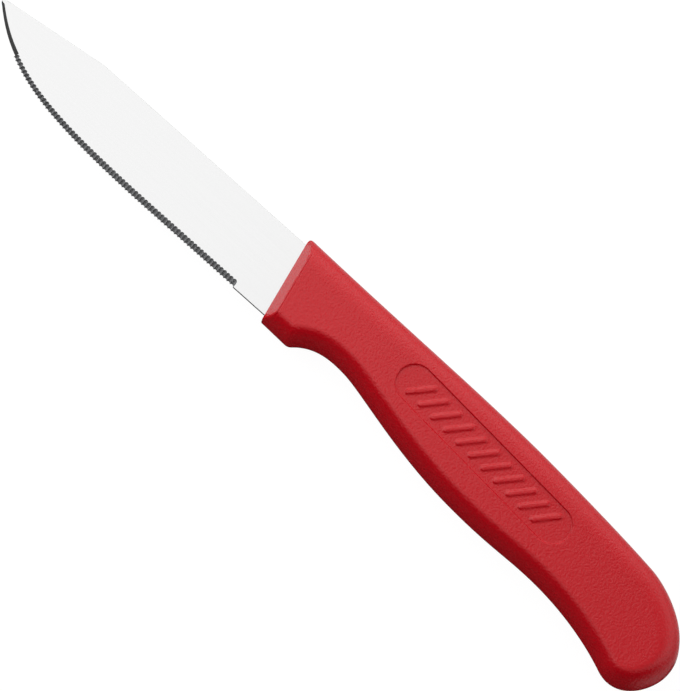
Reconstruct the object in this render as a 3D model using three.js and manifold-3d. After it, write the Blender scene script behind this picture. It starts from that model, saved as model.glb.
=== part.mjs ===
// Small serrated kitchen knife: a flat steel blade whose hidden tang is gripped by a handle
// of solid plastic, moulded around it in one shot.
// Millimetres. The knife lies on its side: +X runs from the point to the butt along the blade,
// +Y from the cutting edge to the back, and +Z up through the thickness.

import * as THREE from 'three';
import { mergeVertices } from 'three/addons/utils/BufferGeometryUtils.js';
import Module from 'manifold-3d';

const DEGREE = Math.PI / 180;

// Blade: a strip with a straight back that slopes down to the point over its last stretch,
// and a straight edge that curves up to meet it.
const BLADE_LENGTH = 81.55; // from the handle to the point, before the point is rounded
const BLADE_WIDTH = 16.2;
const BLADE_THICKNESS = 1;
const CLIP_LENGTH = 24.9; // sloping stretch of the back
const POINT_DROP = 3.5; // point below the line of the back
const POINT_ROUNDING = 1.7; // taken off along both sides of the point
const POINT_ANGLE = 43.8 * DEGREE; // edge at the point, to the straight edge
const POINT_EASE = 12.5; // how far the edge keeps that angle's pull
const BELLY_LENGTH = 51.2; // curved stretch of the edge
const BELLY_EASE = 31; // how far the straight edge leads into that curve

// Serration: a row of round flutes ground across one side of the edge, between a plain heel
// and a plainly bevelled point.
const FLUTE_PITCH = 0.89;
const FLUTE_DEPTH = 0.28; // of the notch that each flute leaves between two teeth
const GRIND_DEPTH = 0.12; // what the grinding takes off the edge down to the teeth's tips
const FLUTE_RUN = 1.18; // from that notch to the flute's upper end, seen on the flat of the blade
const LAST_FLUTE_RUN = 0.85; // the same next to the plain bevel
const FLUTES_SHORTEN_FROM = 45; // where the flutes begin to shorten, along the edge
const HEEL_LENGTH = 8.5; // plain edge next to the handle
const PLAIN_POINT_LENGTH = 10.9; // plain bevel next to the point
const PLAIN_BEVEL_WIDTH = 0.8;
const PLAIN_BEVEL_STEP = 1; // the plain bevel follows the curve in flat cuts of this length

// Tang: shoulders as wide as the blade, then a narrower strip along the handle with lock holes.
const SHOULDER_DEPTH = 4.5;
const TANG_WIDTH = 8;
const TANG_RISE = 2.4; // middle of the tang above the handle's axis
const TANG_END_COVER = 36; // plastic beyond the tang's end
const LOCK_HOLE_DIAMETER = 4;
const LOCK_HOLES_FROM_FRONT = [26, 56];
const TANG_CLEARANCE = 0.3; // to the handle, all round

// Handle: its axis starts at the middle of its front and drops away from the line of the blade.
const HANDLE_DROOP = 3.9 * DEGREE;
const HANDLE_LENGTH = 110.65;
const HANDLE_THICKNESS = 12;
const EDGE_ROUNDING = 4.4; // width of the rounded band all round, seen from the side
const PARTING_LAND = 0.4; // straight belt between the two rounded halves
const FRONT_RAKE = 12 * DEGREE; // front face to the blade's width, forward at the back
const NOSE_THICKNESS = 4.4; // of the front face, where the slopes beside the blade begin
const NOSE_RUN = 2.2; // length of those slopes
const FRONT_CORNER_CUT = 1.2; // small flat across the front's upper corner

// Outline of the handle. Heights are above the axis for the back and below it for the belly.
// Places near the front are measured from it, and the rest from the butt.
const GUARD_LENGTH = 10.05;
const GUARD_COVER = 1.1; // plastic below the line of the blade's edge
const GUARD_DEPTH = BLADE_WIDTH / 2 + GUARD_COVER; // at the guard's rear corner
const GUARD_ANGLE = 2 * DEGREE; // underside of the guard to the axis
const NOTCH_ANGLE = 52 * DEGREE; // finger notch to the axis, where it leaves the guard
const NOTCH_FROM_FRONT = 21.65;
const NOTCH_DEPTH = 4.81;
const PALM_FROM_FRONT = 54.75;
const PALM_DEPTH = 8.37;
const WAIST_FROM_BUTT = 30.4;
const WAIST_DEPTH = 6.95;
const LOBE_FROM_BUTT = 10.3; // where the belly turns round the butt's lobe
const LOBE_DEPTH = 10;
const LOBE_ANGLE = 18.4 * DEGREE;
const BUTT_DROP = 1.3; // rearmost place below the axis
const TURN_FROM_BUTT = 16.9; // where the back turns down to the butt
const TURN_HEIGHT = 11.75;
const TURN_ANGLE = 3.4 * DEGREE;
const HUMP_FROM_FRONT = 65.75;
const HUMP_HEIGHT = 12.3;
const FRONT_COVER = 1.3; // plastic above the line of the blade's back
const FRONT_HEIGHT = BLADE_WIDTH / 2 + FRONT_COVER;
const BACK_ANGLE = 2.35 * DEGREE; // back to the axis at the front

// How far the outline keeps its direction before and after each of those places.
const GUARD_PULL = { after: 5.8 };
const NOTCH_PULL = { before: 2.8, after: 5 };
const PALM_PULL = { before: 15.2, after: 13.3 };
const WAIST_PULL = { before: 8.9, after: 7.9 };
const LOBE_PULL = { before: 5.3, after: 6.75 };
const BUTT_PULL = { before: 4.5, after: 9.1 };
const TURN_PULL = { before: 4.6, after: 8 };
const HUMP_PULL = { before: 8, after: 19 };
const FRONT_PULL = { before: 28 };

// Panel: a shallow sunk field with round ends on both sides, with slanted grip ribs.
const PANEL_FROM_FRONT = 53.65; // its middle
const PANEL_RISE = 3.4; // its middle above the axis
const PANEL_LENGTH = 47.8;
const PANEL_WIDTH = 8.1;
const PANEL_DEPTH = 0.36;
const RIB_HEIGHT = 0.34;
const RIB_WIDTH = 1.5;
const RIB_PITCH = 3.6;
const RIB_SLANT = 38 * DEGREE;
const RIB_MARGIN = 1.2; // from the ribs to the panel's rim

// Fineness of the curves, and what the cutters stand out by.
const CURVE_STEPS = 12;
const RIB_END_STEPS = 5;
const ROUNDING_STEPS = 6;
const FLUTE_SIDES = 24;
const CUT_MARGIN = 12;
const WELD = 1e-4;

const wasm = await Module();
wasm.setup();

// Turns a closed geometry into a solid that can be joined and cut.
function solidOf(geometry) {
  const shell = geometry.clone();
  shell.deleteAttribute('normal');
  shell.deleteAttribute('uv');
  const welded = mergeVertices(shell, WELD);
  return new wasm.Manifold(new wasm.Mesh({
    numProp: 3,
    vertProperties: new Float32Array(welded.attributes.position.array),
    triVerts: new Uint32Array(welded.index.array),
  }));
}

function geometryOf(solid) {
  const mesh = solid.getMesh();
  const geometry = new THREE.BufferGeometry();
  geometry.setAttribute('position', new THREE.BufferAttribute(mesh.vertProperties, 3));
  geometry.setIndex(new THREE.BufferAttribute(mesh.triVerts, 1));
  geometry.computeVertexNormals();
  return geometry;
}

function prism(shape, low, high, curveSegments = CURVE_STEPS) {
  const options = { depth: high - low, bevelEnabled: false, curveSegments };
  return new THREE.ExtrudeGeometry(shape, options).translate(0, 0, low);
}

// Strip with round ends, centred at (x, y) and turned by angle.
function roundEndedStrip(x, y, length, width, angle) {
  const along = new THREE.Vector2(Math.cos(angle), Math.sin(angle)).multiplyScalar((length - width) / 2);
  const strip = new THREE.Shape();
  strip.absarc(x + along.x, y + along.y, width / 2, angle - Math.PI / 2, angle + Math.PI / 2);
  strip.absarc(x - along.x, y - along.y, width / 2, angle + Math.PI / 2, angle + Math.PI * 1.5);
  strip.closePath();
  return strip;
}

// A place given along and across the handle's axis, in the blade's frame.
function onHandle(x, y) {
  return new THREE.Vector2(x, y).rotateAround(new THREE.Vector2(), -HANDLE_DROOP);
}

// Outline of what the handle hides, in the blade's frame, from the back round to the edge.
function tailPoints(clearance) {
  const shoulder = SHOULDER_DEPTH + clearance;
  const blade = BLADE_WIDTH / 2 + clearance;
  const end = HANDLE_LENGTH - TANG_END_COVER + clearance;
  const upper = TANG_RISE + TANG_WIDTH / 2 + clearance;
  const lower = TANG_RISE - TANG_WIDTH / 2 - clearance;
  const root = (y) => onHandle((shoulder - y * Math.sin(HANDLE_DROOP)) / Math.cos(HANDLE_DROOP), y);
  return [
    new THREE.Vector2(shoulder, blade),
    root(upper),
    onHandle(end, upper),
    onHandle(end, lower),
    root(lower),
    new THREE.Vector2(shoulder, -blade),
  ];
}

function addLockHoles(shape, clearance) {
  for (const distance of LOCK_HOLES_FROM_FRONT) {
    const centre = onHandle(distance, TANG_RISE);
    const hole = new THREE.Path();
    hole.absarc(centre.x, centre.y, LOCK_HOLE_DIAMETER / 2 - clearance, 0, Math.PI * 2);
    shape.holes.push(hole);
  }
}

const point = new THREE.Vector2(-BLADE_LENGTH, BLADE_WIDTH / 2 - POINT_DROP);
const edgeDirection = new THREE.Vector2(Math.cos(POINT_ANGLE), -Math.sin(POINT_ANGLE));
const clipDirection = new THREE.Vector2(CLIP_LENGTH, POINT_DROP).normalize();

// Cutting edge from where the path stands to the rounding of the point.
function drawEdge(path) {
  const end = point.clone().addScaledVector(edgeDirection, POINT_ROUNDING);
  const pull = end.clone().addScaledVector(edgeDirection, POINT_EASE);
  const start = BELLY_LENGTH - BLADE_LENGTH;
  path.lineTo(start, -BLADE_WIDTH / 2);
  path.bezierCurveTo(start - BELLY_EASE, -BLADE_WIDTH / 2, pull.x, pull.y, end.x, end.y);
}

function bladeOutline() {
  const outline = new THREE.Shape();
  const clipEnd = point.clone().addScaledVector(clipDirection, POINT_ROUNDING);
  outline.moveTo(clipEnd.x, clipEnd.y);
  outline.lineTo(CLIP_LENGTH - BLADE_LENGTH, BLADE_WIDTH / 2);
  for (const corner of tailPoints(0)) outline.lineTo(corner.x, corner.y);
  drawEdge(outline);
  outline.quadraticCurveTo(point.x, point.y, clipEnd.x, clipEnd.y);
  addLockHoles(outline, 0);
  return outline;
}

// Puts a grinding tool at a distance along the edge, so that it takes depth off the edge and
// comes out through the flat of the blade after run: its Y axis climbs over the bevel, and its
// Z axis points away from the steel.
function grind(blade, tool, edge, distance, depth, run) {
  const share = distance / edge.getLength();
  const place = edge.getPoint(share);
  const heading = edge.getTangent(share);
  const inward = new THREE.Vector3(heading.y, -heading.x, 0);
  const along = new THREE.Vector3(-heading.x, -heading.y, 0);
  const climb = inward.clone().multiplyScalar(run).setZ(BLADE_THICKNESS).normalize();
  const away = new THREE.Vector3().crossVectors(along, climb);
  const foot = new THREE.Vector3(place.x, place.y, -BLADE_THICKNESS / 2).addScaledVector(inward, depth);
  const frame = new THREE.Matrix4().makeBasis(along, climb, away).setPosition(foot);
  return blade.subtract(solidOf(tool.applyMatrix4(frame)));
}

function bladeGeometry() {
  const edge = new THREE.Path();
  edge.moveTo(Math.tan(FRONT_RAKE) * BLADE_WIDTH / 2, -BLADE_WIDTH / 2);
  drawEdge(edge);
  const edgeLength = edge.getLength();
  const serratedEnd = edgeLength - PLAIN_POINT_LENGTH;
  let blade = solidOf(prism(bladeOutline(), -BLADE_THICKNESS / 2, BLADE_THICKNESS / 2));

  // The flutes overlap, so that each two of them leave a sharp tooth between them on the edge.
  const slope = Math.atan2(BLADE_THICKNESS, FLUTE_RUN);
  const crest = FLUTE_DEPTH * Math.sin(slope);
  const fluteRadius = ((FLUTE_PITCH / 2) ** 2 + crest ** 2) / (2 * crest);
  const flutes = Math.floor((serratedEnd - HEEL_LENGTH) / FLUTE_PITCH);
  for (let flute = 0; flute < flutes; flute += 1) {
    const distance = HEEL_LENGTH + (flute + 0.5) * FLUTE_PITCH;
    const wheel = new THREE.CylinderGeometry(fluteRadius, fluteRadius, CUT_MARGIN, FLUTE_SIDES);
    wheel.translate(0, 0, fluteRadius);
    const shortened = Math.max(0, (distance - FLUTES_SHORTEN_FROM) / (serratedEnd - FLUTES_SHORTEN_FROM));
    const run = THREE.MathUtils.lerp(FLUTE_RUN, LAST_FLUTE_RUN, shortened);
    blade = grind(blade, wheel, edge, distance, GRIND_DEPTH + FLUTE_DEPTH, run);
  }

  // The plain bevel starts as deep as the notches and rises to the teeth's tips at the point.
  for (let distance = serratedEnd; distance < edgeLength; distance += PLAIN_BEVEL_STEP) {
    const stone = new THREE.BoxGeometry(2 * PLAIN_BEVEL_STEP, CUT_MARGIN, CUT_MARGIN);
    stone.translate(0, 0, CUT_MARGIN / 2);
    const depth = GRIND_DEPTH + FLUTE_DEPTH * (edgeLength - distance) / PLAIN_POINT_LENGTH;
    blade = grind(blade, stone, edge, distance, depth, PLAIN_BEVEL_WIDTH);
  }
  return geometryOf(blade);
}

// Side outline of the handle, drawn past its front so that the front can be cut off at its rake:
// along the belly to the butt, and along the back to the front again.
function handleOutline() {
  const butt = HANDLE_LENGTH;
  const guard = { x: GUARD_LENGTH, y: -GUARD_DEPTH, heading: NOTCH_ANGLE, pull: GUARD_PULL };
  const stretches = [
    { x: NOTCH_FROM_FRONT, y: -NOTCH_DEPTH, heading: 0, pull: NOTCH_PULL },
    { x: PALM_FROM_FRONT, y: -PALM_DEPTH, heading: 0, pull: PALM_PULL },
    { x: butt - WAIST_FROM_BUTT, y: -WAIST_DEPTH, heading: 0, pull: WAIST_PULL },
    { x: butt - LOBE_FROM_BUTT, y: -LOBE_DEPTH, heading: -LOBE_ANGLE, pull: LOBE_PULL },
    { x: butt, y: -BUTT_DROP, heading: Math.PI / 2, pull: BUTT_PULL },
    { x: butt - TURN_FROM_BUTT, y: TURN_HEIGHT, heading: Math.PI - TURN_ANGLE, pull: TURN_PULL },
    { x: HUMP_FROM_FRONT, y: HUMP_HEIGHT, heading: Math.PI, pull: HUMP_PULL },
    { x: 0, y: FRONT_HEIGHT, heading: Math.PI + BACK_ANGLE, pull: FRONT_PULL },
  ];
  const outline = new THREE.Shape();
  outline.moveTo(-CUT_MARGIN, guard.y - Math.tan(GUARD_ANGLE) * (guard.x + CUT_MARGIN));
  outline.lineTo(guard.x, guard.y);
  let from = guard;
  for (const to of stretches) {
    outline.bezierCurveTo(
      from.x + from.pull.after * Math.cos(from.heading), from.y + from.pull.after * Math.sin(from.heading),
      to.x - to.pull.before * Math.cos(to.heading), to.y - to.pull.before * Math.sin(to.heading),
      to.x, to.y,
    );
    from = to;
  }
  outline.lineTo(-CUT_MARGIN, FRONT_HEIGHT - Math.tan(BACK_ANGLE) * CUT_MARGIN);
  outline.closePath();
  return outline;
}

// What is cut away in front of the handle: up to the flat front face beside the blade,
// and over the slopes on both sides of it.
function noseCutter() {
  const half = HANDLE_THICKNESS / 2;
  const reach = FRONT_HEIGHT + GUARD_DEPTH + CUT_MARGIN;
  const rise = half - NOSE_THICKNESS / 2;
  const top = half + CUT_MARGIN;
  const topRun = (top - NOSE_THICKNESS / 2) * NOSE_RUN / rise;
  const section = new THREE.Shape([
    new THREE.Vector2(-reach, -top),
    new THREE.Vector2(topRun, -top),
    new THREE.Vector2(0, -NOSE_THICKNESS / 2),
    new THREE.Vector2(0, NOSE_THICKNESS / 2),
    new THREE.Vector2(topRun, top),
    new THREE.Vector2(-reach, top),
  ]);
  return prism(section, -reach, reach).rotateX(Math.PI / 2).rotateZ(FRONT_RAKE + HANDLE_DROOP);
}

// A square block whose lower side takes the front's upper corner off, slanting alike to both faces.
function frontCornerCutter() {
  const rake = FRONT_RAKE + HANDLE_DROOP;
  const height = FRONT_HEIGHT / (1 + Math.tan(rake) * Math.tan(BACK_ANGLE));
  const block = new THREE.BoxGeometry(CUT_MARGIN, CUT_MARGIN, HANDLE_THICKNESS + CUT_MARGIN);
  block.translate(0, CUT_MARGIN / 2 - FRONT_CORNER_CUT / 2, 0);
  block.rotateZ(Math.PI / 4 + (rake + BACK_ANGLE) / 2);
  return block.translate(-height * Math.tan(rake), height, 0);
}

// The space for the blade's shoulders and tang, with a peg of plastic left in each lock hole.
function socketCutter() {
  const socket = new THREE.Shape();
  const blade = BLADE_WIDTH / 2 + TANG_CLEARANCE;
  socket.moveTo(-CUT_MARGIN, blade);
  for (const corner of tailPoints(TANG_CLEARANCE)) socket.lineTo(corner.x, corner.y);
  socket.lineTo(-CUT_MARGIN, -blade);
  socket.closePath();
  addLockHoles(socket, TANG_CLEARANCE);
  const half = BLADE_THICKNESS / 2 + TANG_CLEARANCE;
  return prism(socket, -half, half).rotateZ(HANDLE_DROOP);
}

// The sunk panel's cutter on one side (1 for the upper side, -1 for the lower), less its ribs.
function panelCutter(side) {
  const between = (shape, from, to, steps) => (
    solidOf(prism(shape, Math.min(from, to), Math.max(from, to), steps))
  );
  const face = side * HANDLE_THICKNESS / 2;
  const floor = face - side * PANEL_DEPTH;
  const field = roundEndedStrip(PANEL_FROM_FRONT, PANEL_RISE, PANEL_LENGTH, PANEL_WIDTH, 0);
  let cutter = between(field, floor, face + side * CUT_MARGIN);
  const ribLength = (PANEL_WIDTH - 2 * RIB_MARGIN - RIB_WIDTH) / Math.cos(RIB_SLANT) + RIB_WIDTH;
  const ribs = Math.floor((PANEL_LENGTH - PANEL_WIDTH) / RIB_PITCH);
  for (let rib = 0; rib < ribs; rib += 1) {
    const x = PANEL_FROM_FRONT + (rib - (ribs - 1) / 2) * RIB_PITCH;
    const strip = roundEndedStrip(x, PANEL_RISE, ribLength, RIB_WIDTH, Math.PI / 2 - RIB_SLANT);
    const top = floor + side * RIB_HEIGHT;
    cutter = cutter.subtract(between(strip, floor - side * CUT_MARGIN, top, RIB_END_STEPS));
  }
  return cutter;
}

function handleGeometry() {
  const rounding = HANDLE_THICKNESS / 2 - PARTING_LAND / 2;
  const stock = new THREE.ExtrudeGeometry(handleOutline(), {
    depth: PARTING_LAND,
    bevelThickness: rounding,
    bevelSize: EDGE_ROUNDING,
    bevelOffset: -EDGE_ROUNDING,
    bevelSegments: ROUNDING_STEPS,
    curveSegments: CURVE_STEPS,
  });
  stock.translate(0, 0, -PARTING_LAND / 2);
  const handle = solidOf(stock)
    .subtract(solidOf(noseCutter()))
    .subtract(solidOf(frontCornerCutter()))
    .subtract(solidOf(socketCutter()))
    .subtract(panelCutter(1))
    .subtract(panelCutter(-1));
  return geometryOf(handle);
}

const steel = new THREE.MeshStandardMaterial({ color: 0xd6d8da, roughness: 0.3, metalness: 1 });
const plastic = new THREE.MeshStandardMaterial({ color: 0xb8242f, roughness: 0.5, metalness: 0 });

const blade = new THREE.Mesh(bladeGeometry(), steel);
blade.name = 'blade';

const handle = new THREE.Mesh(handleGeometry(), plastic);
handle.name = 'handle';
handle.rotation.z = -HANDLE_DROOP;

// The origin lies under the middle of the knife, on the surface that it rests on.
const lying = new THREE.Group();
lying.add(blade, handle);
const box = new THREE.Box3().setFromObject(lying, true);
const middle = box.getCenter(new THREE.Vector3());
lying.position.set(-middle.x, -middle.y, -box.min.z);

const knife = new THREE.Group();
knife.add(lying);

export default knife;
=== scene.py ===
# %% [markdown]
# # A small serrated kitchen knife
# The real knife is two pieces. A strip of stainless steel is stamped to shape, ground along one side
# of its edge and polished, and a handle of red plastic is moulded around its tang in one shot.
# This lesson rebuilds both as surfaces worked out with numpy, gives them their finishes, and lights
# them as a studio would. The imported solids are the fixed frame: they say where everything is.

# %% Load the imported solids
import math

import bmesh
import bpy
import numpy as np
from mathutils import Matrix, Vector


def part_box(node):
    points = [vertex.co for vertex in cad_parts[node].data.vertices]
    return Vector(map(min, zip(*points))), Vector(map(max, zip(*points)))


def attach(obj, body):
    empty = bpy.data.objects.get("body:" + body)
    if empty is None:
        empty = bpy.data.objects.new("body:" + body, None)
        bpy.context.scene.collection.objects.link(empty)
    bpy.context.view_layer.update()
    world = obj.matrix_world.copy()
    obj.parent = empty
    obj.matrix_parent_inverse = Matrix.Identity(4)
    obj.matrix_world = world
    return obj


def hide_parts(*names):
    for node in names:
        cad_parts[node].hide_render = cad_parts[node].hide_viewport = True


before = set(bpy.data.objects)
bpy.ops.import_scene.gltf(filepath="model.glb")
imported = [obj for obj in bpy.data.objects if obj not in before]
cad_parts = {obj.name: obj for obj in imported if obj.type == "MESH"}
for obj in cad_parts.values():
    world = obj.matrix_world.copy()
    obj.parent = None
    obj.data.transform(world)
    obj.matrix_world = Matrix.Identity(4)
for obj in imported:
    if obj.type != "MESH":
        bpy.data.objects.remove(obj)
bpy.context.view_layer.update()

MM = 0.001
print("solids:", sorted(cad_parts))

# %% [markdown]
# ## Two frames and a few sizes
# The knife lies on its side. Blade and handle share one origin, in the middle of the handle's front,
# and are drawn around it in millimetres: the blade with its back along X, and the handle with its own
# axis, which droops a little from the line of the blade. The origin could be typed in, but read from
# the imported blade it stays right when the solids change. Its back gives the height, and the end of
# its tang, which the handle hides, gives the place along the knife.

# %% Sizes that both pieces share, and the origin
BLADE_WIDTH = 16.2
BLADE_THICKNESS = 1.0
HANDLE_LENGTH = 110.65
HANDLE_DROOP = math.radians(3.9)
FRONT_RAKE = math.radians(12)
TANG_END_COVER = 36.0
TANG_WIDTH = 8.0
TANG_RISE = 2.4

half_width = BLADE_WIDTH / 2
half_steel = BLADE_THICKNESS / 2
tang_length = HANDLE_LENGTH - TANG_END_COVER


def turned(points, angle):
    """Points turned about Z: x and y mixed with the cosine and the sine of the angle."""
    x, y = points[..., 0], points[..., 1]
    return np.stack([x * np.cos(angle) - y * np.sin(angle), x * np.sin(angle) + y * np.cos(angle)], -1)


tang_corner = turned(np.array([tang_length, TANG_RISE + TANG_WIDTH / 2]), -HANDLE_DROOP)
blade_low, blade_high = (np.array(corner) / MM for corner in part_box("blade"))
origin = np.array([
    blade_high[0] - tang_corner[0],
    blade_high[1] - half_width,
    (blade_low[2] + blade_high[2]) / 2,
])
print("origin in mm:", origin.round(3))

# %% [markdown]
# ## Paths, skins and pieces
# Three small tools serve both pieces. A path is a row of points with a distance along it. A skin joins
# a grid of points with quads, ring by ring, as a loft does, and closes the ends that are left open. A
# piece puts the skin into a mesh, welds what coincides, such as the fan of triangles at a point, and
# keeps every bend sharper than a given angle as a hard edge. Blender's curves and modifiers could do
# much of this, but whole arrays keep every point under control.


# %% Paths
def weighted(weights, points):
    """Sum of points, each times its weight."""
    return sum(weight * np.asarray(point) for weight, point in zip(weights, points))


def bezier(start, pull_out, pull_in, end, count=160):
    """Cubic curve: four points weighted with (1-t)^3, 3t(1-t)^2, 3t^2(1-t) and t^3."""
    t = np.linspace(0, 1, count)[:, None]
    weights = (1 - t) ** 3, 3 * t * (1 - t) ** 2, 3 * t ** 2 * (1 - t), t ** 3
    return weighted(weights, (start, pull_out, pull_in, end))


def rounded(start, corner, end, count=40):
    """Rounded corner: three points weighted with (1-t)^2, 2t(1-t) and t^2."""
    t = np.linspace(0, 1, count)[:, None]
    return weighted(((1 - t) ** 2, 2 * t * (1 - t), t ** 2), (start, corner, end))


def run_of(path):
    """Distance along a path at each of its points: the running sum of its steps."""
    return np.concatenate([[0], np.cumsum(np.linalg.norm(np.diff(path, axis=0), axis=1))])


def on_path(path, distance):
    """Places on a path at given distances along it, straight between its points."""
    run = run_of(path)
    return np.stack([np.interp(distance, run, path[:, axis]) for axis in (0, 1)], -1)


def left_of(path, distance, reach=0.02):
    """Direction square to a path at given distances: the step around each place, turned left."""
    step = on_path(path, distance + reach) - on_path(path, distance - reach)
    step /= np.linalg.norm(step, axis=1, keepdims=True)
    return np.stack([-step[:, 1], step[:, 0]], -1)


def joined(*stretches):
    """One path from several, without the point that each shares with the next."""
    return np.concatenate([stretch[:-1] for stretch in stretches[:-1]] + [stretches[-1]])


# %% Skins and pieces
WELD = 0.0004


def skin(rings, close_first=False, close_last=False):
    """Faces of a loft: quads between each two neighbouring rings, and a flat cap on an open end."""
    count, size = rings.shape[:2]
    index = np.arange(count * size).reshape(count, size)
    after = np.roll(index, -1, axis=1)
    quads = np.stack([index[:-1], after[:-1], after[1:], index[1:]], -1).reshape(-1, 4)
    caps = [index[0].tolist()] * close_first + [index[-1].tolist()] * close_last
    return quads.tolist() + caps


def make_piece(name, points, faces, finishes, finish_of_face, hard_angle):
    """Mesh piece from points in millimetres around the shared origin, welded and facing outwards."""
    mesh = bpy.data.meshes.new(name)
    mesh.from_pydata((points.reshape(-1, 3) + origin) * MM, [], faces)
    mesh.polygons.foreach_set("material_index", finish_of_face)
    for finish in finishes:
        mesh.materials.append(finish)
    shell = bmesh.new()
    shell.from_mesh(mesh)
    bmesh.ops.remove_doubles(shell, verts=shell.verts, dist=WELD * MM)
    bmesh.ops.dissolve_degenerate(shell, dist=WELD * MM, edges=shell.edges)
    bmesh.ops.recalc_face_normals(shell, faces=shell.faces)
    if shell.calc_volume(signed=True) < 0:
        bmesh.ops.reverse_faces(shell, faces=shell.faces)
    open_edges = sum(not edge.is_manifold for edge in shell.edges)
    volume = shell.calc_volume(signed=True) / MM ** 3
    shell.to_mesh(mesh)
    shell.free()
    mesh.polygons.foreach_set("use_smooth", np.ones(len(mesh.polygons), bool))
    mesh.set_sharp_from_angle(angle=math.radians(hard_angle))
    piece = bpy.data.objects.new(name, mesh)
    bpy.context.scene.collection.objects.link(piece)
    print(name, len(mesh.polygons), "faces,", open_edges, "open edges,", round(volume), "cubic mm")
    return piece


# %% [markdown]
# ## Finishes: how a node tree is written here
# Each finish starts from the Principled shader. One helper adds a node, sets what it is given and links
# the rest, and one function turns the usual hex colours into the linear ones that Blender reckons with.
# The patterns follow Object coordinates, which are metres on the real knife, so a pattern's scale is
# one over its real width and needs no unwrapping.


# %% Node helper and colours
def linear(code):
    """Linear colour of an sRGB hex value: the standard's straight foot and power curve."""
    channel = np.array([int(code[k:k + 2], 16) for k in (1, 3, 5)]) / 255
    return (*np.where(channel <= 0.04045, channel / 12.92, ((channel + 0.055) / 1.055) ** 2.4), 1.0)


def add_node(tree, kind, inputs=None, **settings):
    """Adds a node: settings are its own options, and inputs are values or the sockets to link."""
    made = tree.nodes.new(kind)
    for option, value in settings.items():
        setattr(made, option, value)
    for socket, value in (inputs or {}).items():
        if isinstance(value, bpy.types.NodeSocket):
            tree.links.new(value, made.inputs[socket])
        else:
            made.inputs[socket].default_value = value
    return made


def new_finish(name):
    """A material with its shader, and the coordinates that the piece's patterns follow."""
    material = bpy.data.materials.new(name)
    material.use_nodes = True
    tree = material.node_tree
    place = add_node(tree, "ShaderNodeTexCoord").outputs["Object"]
    return material, tree, tree.nodes["Principled BSDF"], place


WHITE = linear("#ffffff")

# %% [markdown]
# ### Polished stainless strip
# The strip comes bright from the rolling mill and is finely polished along its length. To the eye it is
# almost a mirror, a little blurred by the polishing lines. The lines themselves are a few hundredths
# of a millimetre apart, too fine to show, so they are drawn coarser here and kept faint. Noise that is
# stretched along X gives them without a picture.

# %% Polished stainless strip
STRIP_COLOUR = "#cdcdcd"
STRIP_ROUGHNESS = (0.2, 0.3)
POLISH_LINE = 0.35
POLISH_LENGTH = 30.0
POLISH_DEPTH = 0.02
POLISH_STRENGTH = 0.04


def polished_strip():
    """Mirroring steel whose roughness and normal follow the lines of a stretched noise."""
    material, tree, shader, place = new_finish("polished_stainless_strip")
    stretch = add_node(tree, "ShaderNodeMapping", {
        "Vector": place,
        "Scale": (1 / (POLISH_LENGTH * MM), 1 / (POLISH_LINE * MM), 1 / (POLISH_LINE * MM)),
    })
    lines = add_node(tree, "ShaderNodeTexNoise", {
        "Vector": stretch.outputs["Vector"],
        "Scale": 1.0,
        "Detail": 3.0,
    })
    gloss = add_node(tree, "ShaderNodeMapRange", {
        "Value": lines.outputs["Fac"],
        "To Min": STRIP_ROUGHNESS[0],
        "To Max": STRIP_ROUGHNESS[1],
    })
    relief = add_node(tree, "ShaderNodeBump", {
        "Height": lines.outputs["Fac"],
        "Strength": POLISH_STRENGTH,
        "Distance": POLISH_DEPTH * MM,
    })
    shader.inputs["Base Color"].default_value = linear(STRIP_COLOUR)
    shader.inputs["Metallic"].default_value = 1.0
    tree.links.new(gloss.outputs["Result"], shader.inputs["Roughness"])
    tree.links.new(relief.outputs["Normal"], shader.inputs["Normal"])
    return material


strip_finish = polished_strip()
print(strip_finish.name, "with lines of", POLISH_LINE, "mm")

# %% [markdown]
# ### Ground steel
# The flutes are cut by a dressed grinding wheel, which leaves them duller than the polished sides, with
# fine scratches. The steel is the same, but its colour here is set paler than the strip's, as painted
# light that lifts the flutes' reflections. The flutes look dark because they lean away from the light and
# mirror the dark side of the studio. The plain bevel at the point is honed after the grinding, so it
# takes the finish of the strip.

# %% Ground steel
# Paler than the strip's colour, though the steel is the same: painted light that lifts the flutes'
# reflections.
BEVEL_COLOUR_PAINTED_PALER = "#d9dadc"
BEVEL_ROUGHNESS = (0.34, 0.5)
SCRATCH_WIDTH = 0.12


def ground_bevel():
    """Duller steel whose roughness follows a noise as fine as the wheel's grit. Its colour is set paler
    than the strip's, as painted light that lifts the flutes' reflections.
    """
    material, tree, shader, place = new_finish("ground_steel_bevel_painted_paler")
    scratch = add_node(tree, "ShaderNodeTexNoise", {
        "Vector": place,
        "Scale": 1 / (SCRATCH_WIDTH * MM),
        "Detail": 2.0,
    })
    gloss = add_node(tree, "ShaderNodeMapRange", {
        "Value": scratch.outputs["Fac"],
        "To Min": BEVEL_ROUGHNESS[0],
        "To Max": BEVEL_ROUGHNESS[1],
    })
    shader.inputs["Base Color"].default_value = linear(BEVEL_COLOUR_PAINTED_PALER)
    shader.inputs["Metallic"].default_value = 1.0
    tree.links.new(gloss.outputs["Result"], shader.inputs["Roughness"])
    return material


bevel_finish_painted_paler = ground_bevel()
print(bevel_finish_painted_paler.name, "with scratches of", SCRATCH_WIDTH, "mm")

# %% [markdown]
# ### Moulded red polypropylene
# Polypropylene takes the surface of its mould exactly. This mould was blasted to a fine satin grain, so
# the red is deep where the plastic faces the dark, and carries a soft pale veil where it mirrors the
# light. Flow in the mould leaves the colour very slightly cloudy. The grain could be modelled, but it
# is far finer than the mesh, so a bump from noise draws it.

# %% Moulded red polypropylene
PLASTIC_TONES = ("#b60211", "#bb0315")
PLASTIC_ROUGHNESS = (0.2, 0.3)
PLASTIC_IOR = 1.43
CLOUD_WIDTH = 14.0
GRAIN_WIDTH = 0.45
GRAIN_DEPTH = 0.2
GRAIN_STRENGTH = 0.65


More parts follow.
